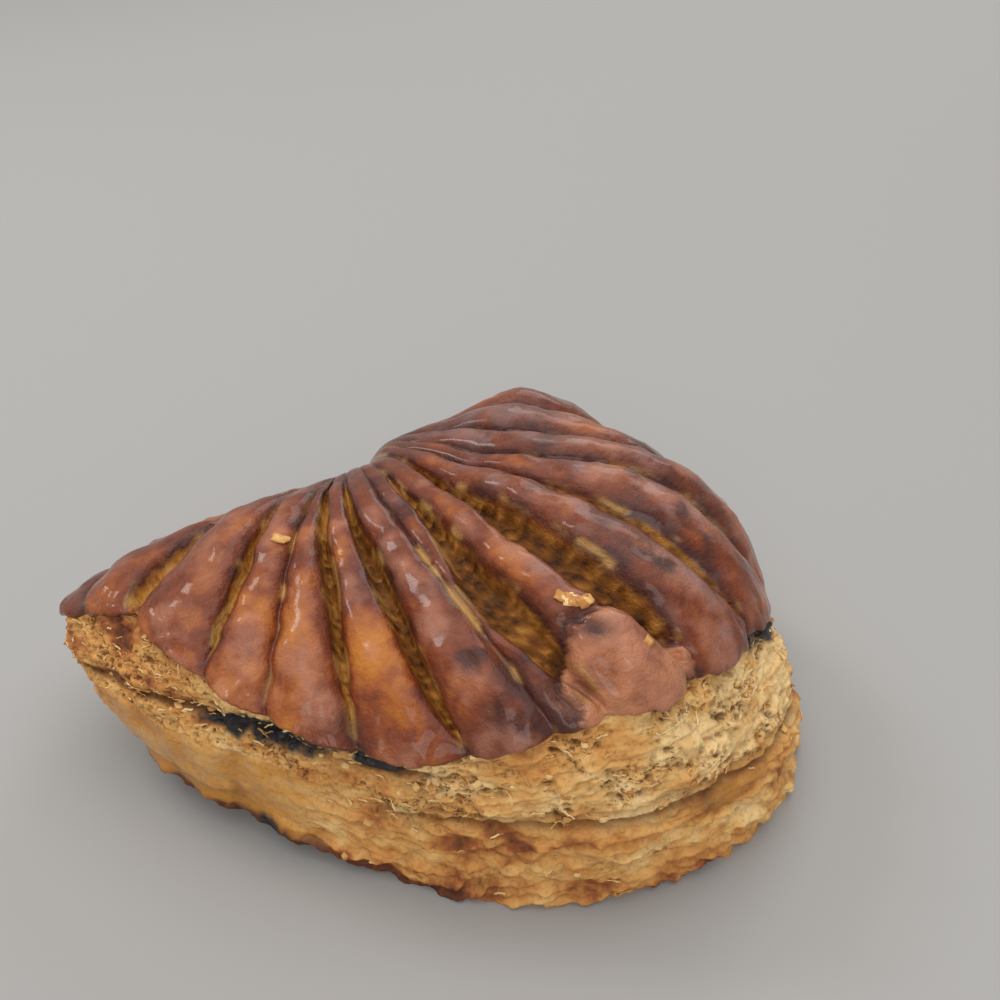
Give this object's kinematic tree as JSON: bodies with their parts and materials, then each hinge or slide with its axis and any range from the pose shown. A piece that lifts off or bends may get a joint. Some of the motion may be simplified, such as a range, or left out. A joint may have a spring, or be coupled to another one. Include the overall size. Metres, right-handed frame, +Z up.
{
  "type": "turnover pastry",
  "caption": "Half-moon turnover of browned puff pastry with a fan of cuts across its crust and a thick layered rim; it rests on its flat sole.",
  "frame": {"origin": "centre of the bounding box in plan, on the floor under the sole", "axes": "+X along the fold, from the raised tip to the blunt tip; +Y out of the fold, so the layered rim faces -Y; +Z up"},
  "size_m": [0.1497, 0.1201, 0.0631],
  "materials": {
    "browned_crust": "red-brown egg-washed crust with a soft sheen",
    "cut_crumb": "golden baked dough in the open cuts",
    "layered_side": "pale golden flaky layers, matt and pitted"
  },
  "bodies": {
    "root": {"turnover": "browned_crust"}
  },
  "joints": []
}
